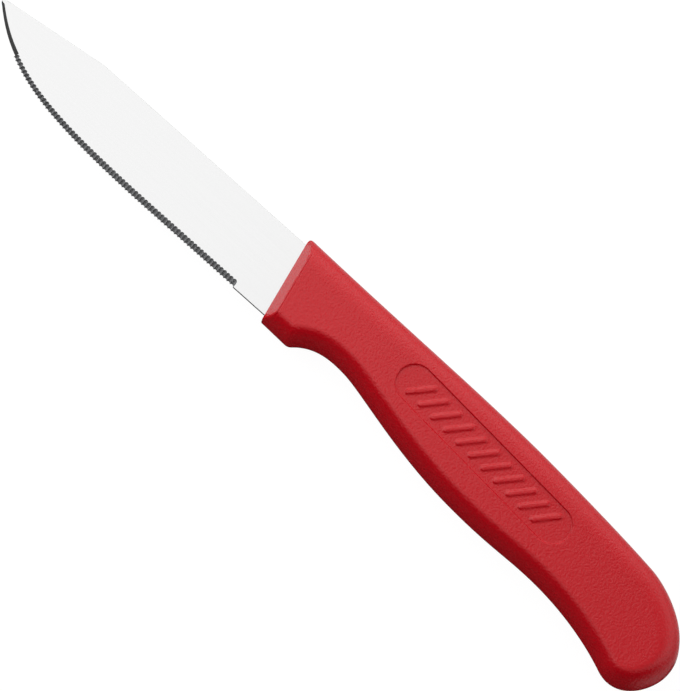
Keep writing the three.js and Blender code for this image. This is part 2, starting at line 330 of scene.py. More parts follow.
def moulded_plastic():
    """Red whose tone follows a wide noise, and whose roughness and normal follow a fine one."""
    material, tree, shader, place = new_finish("moulded_red_polypropylene")
    cloud = add_node(tree, "ShaderNodeTexNoise", {
        "Vector": place,
        "Scale": 1 / (CLOUD_WIDTH * MM),
        "Detail": 2.0,
    })
    tone = add_node(tree, "ShaderNodeMix", {
        "Factor": cloud.outputs["Fac"],
        "A": linear(PLASTIC_TONES[0]),
        "B": linear(PLASTIC_TONES[1]),
    }, data_type="RGBA")
    grain = add_node(tree, "ShaderNodeTexNoise", {
        "Vector": place,
        "Scale": 1 / (GRAIN_WIDTH * MM),
        "Detail": 3.0,
    })
    gloss = add_node(tree, "ShaderNodeMapRange", {
        "Value": grain.outputs["Fac"],
        "To Min": PLASTIC_ROUGHNESS[0],
        "To Max": PLASTIC_ROUGHNESS[1],
    })
    relief = add_node(tree, "ShaderNodeBump", {
        "Height": grain.outputs["Fac"],
        "Strength": GRAIN_STRENGTH,
        "Distance": GRAIN_DEPTH * MM,
    })
    shader.inputs["IOR"].default_value = PLASTIC_IOR
    tree.links.new(tone.outputs["Result"], shader.inputs["Base Color"])
    tree.links.new(gloss.outputs["Result"], shader.inputs["Roughness"])
    tree.links.new(relief.outputs["Normal"], shader.inputs["Normal"])
    return material


plastic_finish = moulded_plastic()
print(plastic_finish.name, "with grain of", GRAIN_WIDTH, "mm")

# %% [markdown]
# ## The blade's outline
# Seen from the side, the back is straight and then slopes down to the point, and the edge is straight
# and then curves up to it. Both start just inside the handle and meet where the rounding of the point
# ends. An outline could be filled and extruded, but kept as two paths, each place on the edge has a
# partner across on the back, and the blade can be lofted between them.

# %% Edge and back of the blade
BLADE_LENGTH = 81.55
CLIP_LENGTH = 24.9
POINT_DROP = 3.5
POINT_ROUNDING = 1.7
POINT_ANGLE = math.radians(43.8)
POINT_EASE = 12.5
BELLY_LENGTH = 51.2
BELLY_EASE = 31.0
BELLY_POINTS = 600

point = np.array([-BLADE_LENGTH, half_width - POINT_DROP])
edge_heading = np.array([math.cos(POINT_ANGLE), -math.sin(POINT_ANGLE)])
clip_heading = np.array([CLIP_LENGTH, POINT_DROP]) / math.hypot(CLIP_LENGTH, POINT_DROP)
edge_end = point + POINT_ROUNDING * edge_heading
clip_end = point + POINT_ROUNDING * clip_heading
belly_start = np.array([BELLY_LENGTH - BLADE_LENGTH, -half_width])
belly_pull = belly_start - [BELLY_EASE, 0]
edge_start = np.array([half_width * math.tan(FRONT_RAKE), -half_width])
back_start = edge_start * [1, -1]

cutting_edge = joined(
    np.array([edge_start, belly_start]),
    bezier(belly_start, belly_pull, edge_end + POINT_EASE * edge_heading, edge_end, BELLY_POINTS),
)
edge_path = joined(cutting_edge, rounded(edge_end, point, clip_end))
back_path = np.array([back_start, [CLIP_LENGTH - BLADE_LENGTH, half_width], clip_end])
edge_length = run_of(cutting_edge)[-1]
full_length = run_of(edge_path)[-1]
back_length = run_of(back_path)[-1]
print("edge", round(edge_length, 1), "mm, back", round(back_length, 1), "mm")

# %% [markdown]
# ## The serration
# A grinding wheel with a round rim cuts flute beside flute across one side of the edge. Cutting them
# with boolean cylinders would copy the grinder, but many dozens of cuts leave ragged faces. Each flute
# is part of a cylinder that lies along the bevel's slope, so the bevel stays straight from the cutting
# edge up to the flat of the blade, while both of its borders swing in and out along the edge. Knowing
# where the bevel starts and ends at each place along the edge is therefore enough to draw it. The heel
# next to the handle keeps its square edge, with its corner just broken. The flutes shorten towards the
# point, and the last stretch before it has a plain bevel, which runs out at the point.

# %% The row of flutes
FLUTE_PITCH = 0.89
FLUTE_DEPTH = 0.28
FLUTE_RUN = 1.18
HEEL_LENGTH = 8.8
PLAIN_POINT_LENGTH = 10.9

slope = math.atan2(BLADE_THICKNESS, FLUTE_RUN)
crest = FLUTE_DEPTH * math.sin(slope)
flute_radius = ((FLUTE_PITCH / 2) ** 2 + crest ** 2) / (2 * crest)
flutes = math.floor((edge_length - PLAIN_POINT_LENGTH - HEEL_LENGTH) / FLUTE_PITCH)
flutes_end = HEEL_LENGTH + flutes * FLUTE_PITCH
first_cut = HEEL_LENGTH + FLUTE_PITCH / 2 - flute_radius
print(flutes, "flutes of radius", round(flute_radius, 2), "mm")

# %% Places along the edge
STEPS = {"heel": 6, "first cut": 5, "flute": 10, "plain bevel": 40, "round point": 32}
SHOULDER_GAP = 0.01

distance = np.concatenate([
    np.linspace(0, first_cut, STEPS["heel"]),
    np.linspace(first_cut + SHOULDER_GAP, HEEL_LENGTH, STEPS["first cut"])[:-1],
    np.linspace(HEEL_LENGTH, flutes_end, flutes * STEPS["flute"] + 1),
    np.linspace(flutes_end + SHOULDER_GAP, edge_length, STEPS["plain bevel"]),
    np.linspace(edge_length, full_length, STEPS["round point"])[1:],
])
round_point = np.clip((distance - edge_length) / (full_length - edge_length), 0, 1)
print(len(distance), "places, of which", np.count_nonzero(round_point), "go round the point")

# %% Where the bevel starts and ends
GRIND_DEPTH = 0.12
LAST_FLUTE_RUN = 0.85
FLUTES_SHORTEN_FROM = 45.0
HEEL_BREAK = 0.08
PLAIN_DEPTH = 0.52
DEPTH_AT_POINT = 0.16
PLAIN_BEVEL_WIDTH = 0.8
BEVEL_AT_POINT = 0.55
FADE_OUT = 0.5


def bevel_borders():
    """Inset of the bevel's lower and upper border at each place. A flute sags by r minus the root of r^2
    less the squared distance from its middle, and the sag over the slope's sine moves both borders
    out. The plain bevel's depth and width change evenly up to the point, and fade round it."""
    middle = np.clip(np.floor((distance - HEEL_LENGTH) / FLUTE_PITCH), 0, flutes - 1) + 0.5
    aside = distance - HEEL_LENGTH - middle * FLUTE_PITCH
    sag = flute_radius - np.sqrt(np.maximum(flute_radius ** 2 - aside ** 2, 0))
    bottom = GRIND_DEPTH + FLUTE_DEPTH
    shortened = np.clip((distance - FLUTES_SHORTEN_FROM) / (flutes_end - FLUTES_SHORTEN_FROM), 0, 1)
    run = FLUTE_RUN + shortened * (LAST_FLUTE_RUN - FLUTE_RUN)
    fluted = bottom - sag / math.sin(slope), bottom + run - sag / math.sin(slope)
    narrowing = np.clip((distance - flutes_end) / (edge_length - flutes_end), 0, 1)
    depth = PLAIN_DEPTH + narrowing * (DEPTH_AT_POINT - PLAIN_DEPTH)
    plain = depth, depth + PLAIN_BEVEL_WIDTH + narrowing * (BEVEL_AT_POINT - PLAIN_BEVEL_WIDTH)
    fade = 1 - np.clip(round_point / FADE_OUT, 0, 1)
    lower, upper = (np.where(distance > flutes_end, fade * p, f) for f, p in zip(fluted, plain))
    square = distance <= first_cut
    return np.where(square, HEEL_BREAK - FLUTE_RUN, lower), np.where(square, HEEL_BREAK, upper)


lower_inset, upper_inset = bevel_borders()
print("bevel up to", round(upper_inset.max(), 2), "mm from the edge")

# %% [markdown]
# ## The blade as a loft
# A ring of points runs round the blade at each place along the edge: up the bevel, over the flat,
# round the back with its edges broken, and along the underside. Behind the handle's front three more
# rings carry the strip on through its shoulders and its narrower tang, which nobody sees. A plate with
# a Bevel modifier would be quicker, but it could not follow the two borders of the flutes.

# %% The part that the handle hides
SHOULDER_DEPTH = 4.5
SHOULDER_SLANT = 0.5


def tail(width_sign, clearance):
    """Three places of the hidden part's outline, from the tang's end forwards to the shoulder."""
    across = TANG_RISE + width_sign * (TANG_WIDTH / 2 + clearance)
    end = turned(np.array([tang_length + clearance, across]), -HANDLE_DROOP)
    root_x = SHOULDER_DEPTH + clearance
    root = np.array([root_x + SHOULDER_SLANT, across - root_x * math.sin(HANDLE_DROOP)])
    shoulder = np.array([root_x, width_sign * (half_width + clearance)])
    return np.stack([end, root, shoulder])


hidden = len(tail(1, 0))
print("tang", round(tang_length, 2), "mm behind the handle's front, in", hidden, "rings")

# %% Rings of the blade
BACK_ROUNDING = 0.1
BACK_DROP = 0.3
ROUNDING_STEPS = 5
ROUNDING_SHARE = 0.25
POINT_FAN = 1.8
END_MARGIN = 0.1
FLAT_FROM = 2.0
FLAT_SHARE = 0.15
UPPER_ROWS = (0, 0.3, 0.7)
LOWER_ROWS = (0.5, 1)
SUPPORT = 0.03
SUPPORT_SHARE = 0.2


def partners():
    """Place and inward direction on the back for each place on the edge: as far along it as the edge's
    place lies along X, and round the point the last stretch of the back."""
    edge_x = on_path(edge_path, distance)[:, 0]
    share = np.clip((edge_start[0] - edge_x) / (edge_start[0] - edge_end[0]), 0, 1)
    round_back = back_length - POINT_FAN * (1 - round_point)
    back_at = np.where(round_point > 0, round_back, share * (back_length - POINT_FAN))
    measured_at = np.clip(back_at, END_MARGIN, back_length - END_MARGIN)
    return on_path(back_path, back_at), left_of(back_path, measured_at)


def blade_rings():
    """Rings of the blade. The flat starts on a smooth line at one distance from the edge, and its points
    are shares of the way from there to the back. The broken edges are quarter ovals: sine inwards and
    cosine down."""
    start = np.maximum(lower_inset, 0)
    rise = np.clip((start - lower_inset) * math.tan(slope), 0, BLADE_THICKNESS)
    back, back_inward = partners()
    edge = np.concatenate([tail(-1, 0), on_path(edge_path, distance)])
    back = np.concatenate([tail(1, 0), back])
    inward = np.concatenate([np.tile([0, 1], (hidden, 1)), -left_of(edge_path, distance)])
    back_inward = np.concatenate([np.tile([0, -1], (hidden, 1)), back_inward])
    start = np.concatenate([np.zeros(hidden), start])
    upper = np.concatenate([np.zeros(hidden), upper_inset])
    rise = np.concatenate([np.full(hidden, BLADE_THICKNESS), rise])

    foot = edge + start[:, None] * inward
    brow = edge + upper[:, None] * inward
    reach = np.linalg.norm(back - brow, axis=1)
    base = brow + np.minimum(FLAT_FROM - upper, FLAT_SHARE * reach)[:, None] * inward
    rounding = np.minimum(BACK_ROUNDING, ROUNDING_SHARE * reach)[:, None]
    flat_end = back + rounding * back_inward
    support = np.minimum(SUPPORT / np.maximum(reach, SUPPORT), SUPPORT_SHARE)[:, None]
    level = np.full(len(edge), half_steel)
    oval = [
        (back + rounding * back_inward * (1 - math.sin(turn)), level - BACK_DROP * (1 - math.cos(turn)))
        for turn in np.linspace(0, math.pi / 2, ROUNDING_STEPS)
    ]

    rows = [(foot, -level), (foot, rise - half_steel), (brow, level)]
    rows += [(brow + (base - brow) * 2 * support, level)]
    rows += [(base + (flat_end - base) * share, level) for share in (*UPPER_ROWS, 1 - support)]
    rows += oval
    rows += [(plan, -height) for plan, height in oval[::-1]]
    rows += [(flat_end + (base - flat_end) * share, -level) for share in (support, *LOWER_ROWS)]
    rows += [(foot + (base - foot) * 2 * support, -level)]
    return np.stack([np.concatenate([plan, height[:, None]], 1) for plan, height in rows], 1)


blade_points = blade_rings()
print("blade grid", blade_points.shape[:2])

# %% Make the blade
BEVEL_ROW = 1
BLADE_HARD_ANGLE = 24

blade_faces = skin(blade_points, close_first=True)
ring_of_face, row_of_face = np.divmod(np.arange(len(blade_faces)), blade_points.shape[1])
fluted_rings = len(blade_points) - np.count_nonzero(distance > flutes_end)
in_flutes = (row_of_face == BEVEL_ROW) & (ring_of_face < fluted_rings)
blade = make_piece(
    "blade_strip", blade_points, blade_faces,
    [strip_finish, bevel_finish_painted_paler], in_flutes.astype(np.int32), BLADE_HARD_ANGLE,
)
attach(blade, "root")
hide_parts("blade")

# %% [markdown]
# ## The handle's outline
# The handle's side is drawn as a chain of curves through the places where a hand feels it: guard,
# finger notch, palm swell, waist and lobe below, and the long back above. Each place has a heading in
# degrees, and each curve keeps it for a given pull, in millimetres. A spline through many points could
# be traced instead, but a few places with headings stay fair and are easy to change. The front is cut
# at a rake, and its upper corner is eased.

# %% Places on the outline
GUARD_COVER = 1.1
FRONT_COVER = 1.3
GUARD = {"x": 10.05, "y": -half_width - GUARD_COVER, "heading": 52, "after": 5.8}
NOTCH = {"x": 21.65, "y": -4.81, "heading": 0, "before": 2.8, "after": 5.0}
PALM = {"x": 54.75, "y": -8.37, "heading": 0, "before": 15.2, "after": 13.3}
WAIST = {"x": HANDLE_LENGTH - 30.4, "y": -6.95, "heading": 0, "before": 8.9, "after": 7.9}
LOBE = {"x": HANDLE_LENGTH - 10.3, "y": -10.0, "heading": -18.4, "before": 5.3, "after": 6.75}
BUTT = {"x": HANDLE_LENGTH, "y": -1.3, "heading": 90, "before": 4.5, "after": 9.1}
TURN = {"x": HANDLE_LENGTH - 16.9, "y": 11.75, "heading": 176.6, "before": 4.6, "after": 8.0}
HUMP = {"x": 65.75, "y": 12.3, "heading": 180, "before": 8.0, "after": 19.0}
FRONT = {"x": 0.0, "y": half_width + FRONT_COVER, "heading": 182.35, "before": 28.0}


def place_of(station):
    """A place's x and y."""
    return np.array([station["x"], station["y"]])


def heading_of(degrees):
    """Direction at an angle from X: its cosine and its sine."""
    return np.array([math.cos(math.radians(degrees)), math.sin(math.radians(degrees))])


def curve_through(*stations):
    """Chain of cubic curves whose pulls follow the headings of the places that they join."""
    return joined(*(
        bezier(
            place_of(a), place_of(a) + a["after"] * heading_of(a["heading"]),
            place_of(b) - b["before"] * heading_of(b["heading"]), place_of(b),
        )
        for a, b in zip(stations, stations[1:])
    ))


below = curve_through(GUARD, NOTCH, PALM, WAIST, LOBE, BUTT)
above = curve_through(BUTT, TURN, HUMP, FRONT)[::-1]
print("guard to butt", round(run_of(below)[-1], 1), "mm, front to butt", round(run_of(above)[-1], 1), "mm")

# %% Belly and back, up to the raked front
GUARD_ANGLE = 2.0
GUARD_EASE = 0.9
FRONT_EASE = 1.3

front_angle = FRONT_RAKE + HANDLE_DROOP
front_normal = np.array([math.cos(front_angle), math.sin(front_angle)])
front_along = np.array([-math.sin(front_angle), math.cos(front_angle)])


def meets_front(place, heading):
    """Where the line through a place meets the raked front, which holds the shared origin: the place
    less its distance from the front over the heading's share of that."""
    return place - heading * (place @ front_normal) / (heading @ front_normal)


guard_line = heading_of(GUARD_ANGLE)
belly_start = meets_front(place_of(GUARD), guard_line)
before_guard = place_of(GUARD) - GUARD_EASE * guard_line
after_guard = on_path(below, np.array([GUARD_EASE]))
belly = joined(
    np.array([belly_start, before_guard]),
    rounded(before_guard, place_of(GUARD), after_guard[0]),
    np.concatenate([after_guard, below[run_of(below) > GUARD_EASE]]),
)
back_line = heading_of(FRONT["heading"] - 180)
corner = meets_front(place_of(FRONT), back_line)
after_corner = corner + FRONT_EASE * back_line
spine = joined(
    rounded(corner - FRONT_EASE * front_along, corner, after_corner),
    np.concatenate([[after_corner], above]),
)
print("belly", round(run_of(belly)[-1], 1), "mm, back", round(run_of(spine)[-1], 1), "mm")

# %% [markdown]
# ## Rows and columns over the handle
# Rows of points run across the handle from the belly to the back. Near the front they lie parallel to
# its raked face, then they straighten, and round the butt they fan out until belly and back meet. Each
# row is divided into columns that follow the straight sides of the sunk grip panel, so that its walls
# stay crisp. Both are close together where the surface has fine detail: at the nose, the panel and the
# rims. An even grid would do too, but it would need many times the points.

# %% Where the rows are
PANEL_MIDDLE = np.array([53.65, 3.4])
PANEL_LENGTH = 47.8
PANEL_END = 5.0
BUTT_FROM = 94.0

panel_front = PANEL_MIDDLE[0] - PANEL_LENGTH / 2
panel_rear = PANEL_MIDDLE[0] + PANEL_LENGTH / 2

# Rows behind the front: over its rounding one by one, and then from, to and step of each stretch.
FRONT_ROWS = [0, 0.02, 0.05, 0.09, 0.14]
ROW_STRETCHES = [
    (0.24, 1.95, 0.18),  # slope of the nose
    (2.0, 2.9, 0.04),  # crease
    (2.95, 3.5, 0.18),  # behind the crease
    (3.6, panel_front - 0.4, 0.42),  # up to the panel
    (panel_front - 0.3, panel_front + PANEL_END, 0.13),  # the panel's front end
    (panel_front + PANEL_END, panel_rear - PANEL_END, 0.24),  # along the ribs
    (panel_rear - PANEL_END, panel_rear + 0.3, 0.13),  # the panel's rear end
    (panel_rear + 0.6, BUTT_FROM, 0.6),  # up to the butt
]
station = np.concatenate([FRONT_ROWS] + [np.arange(*stretch) for stretch in ROW_STRETCHES])
print(len(station), "rows in front of the butt")

# %% Rows across the handle
RAKED_UP_TO = 9.0
STRAIGHT_FROM = 60.0
CORNER_ROWS = 2.0
BUTT_ROWS = 44
INSET = 0.03


def smooth(low, high, value):
    """Rises from 0 to 1 between two limits as 3t^2 - 2t^3."""
    t = np.clip((value - low) / (high - low), 0, 1)
    return t * t * (3 - 2 * t)


def fanned(at, path):
    """Distances along a path, carried on in even steps to its end."""
    fan = np.linspace(0, 1, BUTT_ROWS)[1:]
    return np.concatenate([at, at[-1] + fan * (run_of(path)[-1] - at[-1])])


raked = 1 - smooth(RAKED_UP_TO, STRAIGHT_FROM, station)
belly_at = fanned(np.interp(station + raked * belly_start[0], belly[:, 0], run_of(belly)), belly)
past_corner = run_of(spine) > 2 * FRONT_EASE
spine_at = np.interp(station + raked * corner[0], spine[past_corner, 0], run_of(spine)[past_corner])
first_past = np.searchsorted(station, CORNER_ROWS)
spine_at[:first_past] = spine_at[first_past] * station[:first_past] / station[first_past]
spine_at = fanned(spine_at, spine)
row_start = on_path(belly, belly_at)
row_end = on_path(spine, spine_at)
row_start += INSET * left_of(belly, np.clip(belly_at, 0, run_of(belly)[-1] - INSET))
row_end -= INSET * left_of(spine, np.clip(spine_at, INSET, run_of(spine)[-1] - INSET))
row_start[-1] = row_end[-1] = (row_start[-1] + row_end[-1]) / 2
print(len(row_start), "rows")

# %% Columns along the handle
PANEL_WIDTH = 8.1
PANEL_WALL = 0.22
RIM_WIDTH = 4.2
RIM_SHARE = 0.95
COLUMNS = {"belly rim": 18, "belly side": 5, "lower wall": 5, "panel": 56, "upper wall": 5, "back rim": 18}


def columns_across(row_start, row_end):
    """Shares of the way across each row. The borders are the rims and the lines of the panel's walls,
    and round the butt they stay the shares they were. Steps at the rims grow as 1 - cosine."""
    half = PANEL_WIDTH / 2
    straight = len(station)
    lines = PANEL_MIDDLE[1] + np.array([-half, PANEL_WALL - half, half - PANEL_WALL, half])
    walls = (lines - row_start[:, 1:]) / (row_end - row_start)[:, 1:].clip(WELD)
    length = np.linalg.norm(row_end - row_start, axis=1).clip(WELD)
    rim = np.minimum(RIM_WIDTH / length, RIM_SHARE * walls[:, 0])
    borders = np.column_stack([0 * rim, rim, walls, 1 + 0 * rim])
    borders[straight:] = borders[straight - 1]
    shares = [borders[:, :1]]
    for stretch, (name, count) in enumerate(COLUMNS.items()):
        step = np.arange(1, count + 1) / count
        if name == "belly rim":
            step = 1 - np.cos(step * math.pi / 2)
        if name == "back rim":
            step = np.sin(step * math.pi / 2)
        low, high = borders[:, stretch, None], borders[:, stretch + 1, None]
        shares.append(low + (high - low) * step)
    return np.concatenate(shares, 1)


across = columns_across(row_start, row_end)
plan = row_start[:, None] + across[..., None] * (row_end - row_start)[:, None]
print("handle grid", plan.shape[:2])

# %% [markdown]
# ## The handle's cushion section
# The mould gives the handle flat sides and a rounded edge all the way along. Its thickness depends only
# on how far inside the outline a place lies. Along the back the edge is gently crowned and full. Along
# the belly, where the fingers close, it turns down from the flat more quickly and then runs straighter
# to the rim. A Bevel modifier would round both edges alike and fold over itself in the finger notch.
# Finding the least distance to the outline for every point of the grid at once gives the whole
# surface, corners included.

# %% Distance to the outline
AHEAD = 12.0
BLOCKS = 40


def distance_to(path, points):
    """Least distance from points to a path: the nearest point of the path first, and then the two
    stretches beside it, measured exactly by the foot of the perpendicular."""
    nearest = np.abs((points @ [1, 1j])[:, None] - (path @ [1, 1j])[None]).argmin(1)
    near = np.clip(nearest, 1, len(path) - 2)
    found = []
    for a, b in ((path[near - 1], path[near]), (path[near], path[near + 1])):
        step = b - a
        share = np.clip(((points - a) * step).sum(1) / (step ** 2).sum(1), 0, 1)
        found.append(np.linalg.norm(points - a - share[:, None] * step, axis=1))
    return np.minimum(*found)


# The belly's line is carried on ahead of the front, so that the front itself is not rounded. The
# points are taken in blocks, which keeps the table of distances small.
outline = joined(np.concatenate([[belly[0] - AHEAD * guard_line], belly]), spine[::-1])
blocks = np.array_split(plan.reshape(-1, 2), BLOCKS)
inside = np.concatenate([distance_to(outline, block) for block in blocks]).reshape(across.shape)
inside[:, [0, -1]] = 0
print("deepest inside", round(inside.max(), 2), "mm")

# %% Thickness from that distance
HANDLE_THICKNESS = 12.0
PARTING_LAND = 0.4
BACK_EDGE = {"width": 5.0, "leave": 2.0, "meet": 3.8}
BELLY_EDGE = {"width": 3.6, "leave": 1.75, "meet": 1.35}
BELLY_TO_BACK = (0.3, 0.7)
BUTT_TURN = (85.0, 100.0)
BUTT_BLEND = 7.0

half_handle = HANDLE_THICKNESS / 2
land = PARTING_LAND / 2


def cushion(inside, edge):
    """Half the handle's thickness: the land, and over the rounding's width a quarter of an oval whose
    two powers say how quickly it leaves the flat and how full it is where it meets the rim."""
    turn = 1 - np.clip(inside / edge["width"], 0, 1)
    return land + (half_handle - land) * (1 - turn ** edge["leave"]) ** (1 / edge["meet"])


round_butt = smooth(*BUTT_TURN, plan[..., 0])
along_side = smooth(*BELLY_TO_BACK, across)
along_butt = smooth(-BUTT_BLEND, BUTT_BLEND, plan[..., 1])
from_belly = along_side * (1 - round_butt) + along_butt * round_butt
height = cushion(inside, BELLY_EDGE) * (1 - from_belly) + cushion(inside, BACK_EDGE) * from_belly
print("thickest", round(2 * height.max(), 2), "mm")

# %% [markdown]
# ## The nose and the grip panel
# Two slopes beside the blade cut the nose down in front, and a fine line is left in the plastic along
# their upper crease. A shallow field with round ends is sunk in each side, and slanted ribs stand in it
# for grip. Booleans could cut all of these, with sharp corners. As heights that depend on a distance,
# from the front, from the field's middle line or from the nearest rib's, they get the small radii that
# a mould leaves.

# %% Slopes and crease of the nose
NOSE_THICKNESS = 4.4
NOSE_RUN = 2.2
NOSE_CREASE = 0.16
FRONT_ROUNDING = 0.12
CREASE_LINE = 0.2
CREASE_WIDTH = 0.12
CREASE_DEPTH = 0.13
CREASE_FADE = (1.2, 3.0)


def soft_least(a, b, width):
    """The smaller of two heights, with the corner between them rounded over a width."""
    mix = np.clip(0.5 + 0.5 * (b - a) / width, 0, 1)
    return b + (a - b) * mix - width * mix * (1 - mix)


half_nose = NOSE_THICKNESS / 2
behind_front = np.maximum(plan @ front_normal, 0)
nose = half_nose + behind_front * (half_handle - half_nose) / NOSE_RUN
broken = 1 - np.clip(behind_front / FRONT_ROUNDING, 0, 1)
nose -= FRONT_ROUNDING * (1 - np.sqrt(1 - broken ** 2))
height = np.maximum(soft_least(height, nose, NOSE_CREASE), land)
crease = np.exp(-((behind_front - NOSE_RUN - CREASE_LINE) / CREASE_WIDTH) ** 2)
height -= CREASE_DEPTH * crease * smooth(*CREASE_FADE, inside)
print("nose", round(2 * height[0].max(), 2), "mm thick at the front")

# %% Panel and ribs
PANEL_DEPTH = 0.36
RIB_HEIGHT = 0.34
RIB_WIDTH = 1.5
RIB_WALL = 0.45
RIB_PITCH = 3.6
RIB_SLANT = math.radians(38)
RIB_MARGIN = 1.2


def distance_to_bar(points, half_length, angle):
    """Distance from points to a straight bar through zero: what lies past its ends, and beside it."""
    local = turned(points, -angle)
    past = np.maximum(np.abs(local[..., 0]) - half_length, 0)
    return np.hypot(past, local[..., 1])


def panel_relief(points):
    """How far the surface lies below the handle's side: the sunk field, less the ribs in it."""
    local = points - PANEL_MIDDLE
    to_rim = PANEL_WIDTH / 2 - distance_to_bar(local, (PANEL_LENGTH - PANEL_WIDTH) / 2, 0)
    ribs = math.floor((PANEL_LENGTH - PANEL_WIDTH) / RIB_PITCH)
    leaning = local[..., 0] - local[..., 1] * math.tan(RIB_SLANT)
    nearest = np.clip(np.round(leaning / RIB_PITCH), -(ribs // 2), ribs // 2)
    to_middle = np.stack([local[..., 0] - nearest * RIB_PITCH, local[..., 1]], -1)
    rib_half = (PANEL_WIDTH - 2 * RIB_MARGIN - RIB_WIDTH) / 2 / math.cos(RIB_SLANT)
    from_rib = distance_to_bar(to_middle, rib_half, math.pi / 2 - RIB_SLANT)
    rib = smooth(0, RIB_WALL, RIB_WIDTH / 2 - from_rib)
    return PANEL_DEPTH * smooth(0, PANEL_WALL, to_rim) - RIB_HEIGHT * rib


height -= panel_relief(plan)
print("panel floor", round(half_handle - PANEL_DEPTH, 2), "mm from the middle")

# %% [markdown]
# ## The handle as one loft
# The whole skin is a single tube. It starts at the end of the tang's pocket, comes out along it to the
# mouth around the blade, spreads over the front face, runs back along both sides and zips up at the
# butt. At mid thickness a hair-fine ridge shows where the two halves of the mould met. Two mirrored
# halves could be joined instead, but one tube is closed by the way it is made.

# %% Rings around the handle
SEAM_RIDGE = 0.03
SEAM_WIDTH = 0.12


def ring_of(plan, height, seam_plan):
    """One ring per row: the upper side, the seam at the back, the lower side, the seam at the belly."""
    def level(points, value):
        """Points with a height as their third number."""
        return np.concatenate([points, np.broadcast_to(value, points.shape[:-1])[..., None]], -1)

    def seam(side, order):
        """Three points per row on one rim: half the seam up, the ridge, and half the seam down."""
        rim, ridge = plan[:, side], seam_plan[:, side]
        steps = [(rim, order * SEAM_WIDTH / 2), (ridge, 0), (rim, -order * SEAM_WIDTH / 2)]
        return np.stack([level(points, value) for points, value in steps], 1)

    over = level(plan, height)
    under = level(plan, -height)[:, ::-1]
    return np.concatenate([over, seam(-1, 1), under, seam(0, -1)], 1)


def outer_rings():
    """Rings of the outside, drawn in by the seam's ridge and turned by the droop."""
    toward = row_end - row_start
    toward /= np.maximum(np.linalg.norm(toward, axis=1, keepdims=True), WELD)
    rim = plan.copy()
    rim[:, 0] += SEAM_RIDGE * toward
    rim[:, -1] -= SEAM_RIDGE * toward
    outer = ring_of(rim, height, plan)
    outer[..., :2] = turned(outer[..., :2], -HANDLE_DROOP)
    return outer


outside = outer_rings()
print("outside", outside.shape[:2])

# %% Rings of the tang's pocket
POCKET_CLEARANCE = 0.04
END_STEPS = 3


def pocket_rings():
    """Rings of the pocket: the end walls take a few points each, and the sides the others."""
    half_slot = half_steel + POCKET_CLEARANCE
    count = plan.shape[1]
    share = np.clip((np.arange(count) - END_STEPS) / (count - 1 - 2 * END_STEPS), 0, 1)
    from_end = np.minimum(np.arange(count), np.arange(count)[::-1])
    slot = half_slot * np.clip((from_end + 1) / (END_STEPS + 1), 0, 1)
    mouth = half_width / math.cos(FRONT_RAKE) + POCKET_CLEARANCE
    rake_along = np.array([-math.sin(FRONT_RAKE), math.cos(FRONT_RAKE)])
    lower = np.concatenate([tail(-1, POCKET_CLEARANCE), [-mouth * rake_along]])
    upper = np.concatenate([tail(1, POCKET_CLEARANCE), [mouth * rake_along]])
    pocket = lower[:, None] + share[None, :, None] * (upper - lower)[:, None]
    return ring_of(pocket, np.tile(slot, (len(pocket), 1)), pocket)


pocket = pocket_rings()
print("pocket", pocket.shape[:2])

# %% Make the handle
HANDLE_HARD_ANGLE = 40

handle_points = np.concatenate([pocket, outside])
handle_faces = skin(handle_points, close_first=True)
handle = make_piece(
    "moulded_handle", handle_points, handle_faces,
    [plastic_finish], np.zeros(len(handle_faces), np.int32), HANDLE_HARD_ANGLE,
)
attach(handle, "root")
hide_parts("handle")

# %% [markdown]
# ## Studio
# Polished steel shows its surroundings, so the studio is part of its look. The knife lies on a light
# table, which keeps the ground white up to the knife. What lights the knife and shows in its gloss is
# a plain white table with dark cards on the side that the edge faces. They draw the dark bevel and the
# deep red of the handle's lower edge. The cards and that table stay out of the picture, as a
# photographer would retouch them.

# %% Tables and cards: places in metres, and depth under the knife in millimetres
LIGHT_TABLE = {"x": (-6.0, 6.0), "y": (-6.0, 6.0), "depth": 0.02, "colour": "#404040", "glow": 0.96}
CARDS = {
    "black_card_by_edge": {"x": (-0.094, 0.1), "y": (-0.6, 0.0), "depth": 0.04, "colour": "#1a1a1a"},
    "grey_card_by_point": {"x": (-0.6, -0.094), "y": (-0.6, 0.1), "depth": 0.04, "colour": "#303030"},
    "black_card_by_butt": {"x": (0.1, 0.6), "y": (-0.6, -0.02), "depth": 0.04, "colour": "#1a1a1a"},
}
WHITE_TABLE = {"x": (-0.6, 0.6), "y": (-0.6, 0.6), "depth": 0.06, "colour": "#d0d0d0"}
MATT = 0.8


def flat_sheet(name, sheet):
    """A level rectangle just under the knife, with a matt finish of its own."""
    material, _, shader, _ = new_finish(name)
    shader.inputs["Base Color"].default_value = linear(sheet["colour"])
    shader.inputs["Roughness"].default_value = MATT
    shader.inputs["Emission Color"].default_value = WHITE
    shader.inputs["Emission Strength"].default_value = sheet.get("glow", 0.0)
    (west, east), (south, north) = sheet["x"], sheet["y"]
    corners = [(west, south), (east, south), (east, north), (west, north)]
    mesh = bpy.data.meshes.new(name)
    mesh.from_pydata([(x, y, -sheet["depth"] * MM) for x, y in corners], [], [(0, 1, 2, 3)])
    mesh.materials.append(material)
    made = bpy.data.objects.new(name, mesh)
    bpy.context.scene.collection.objects.link(made)
    return made


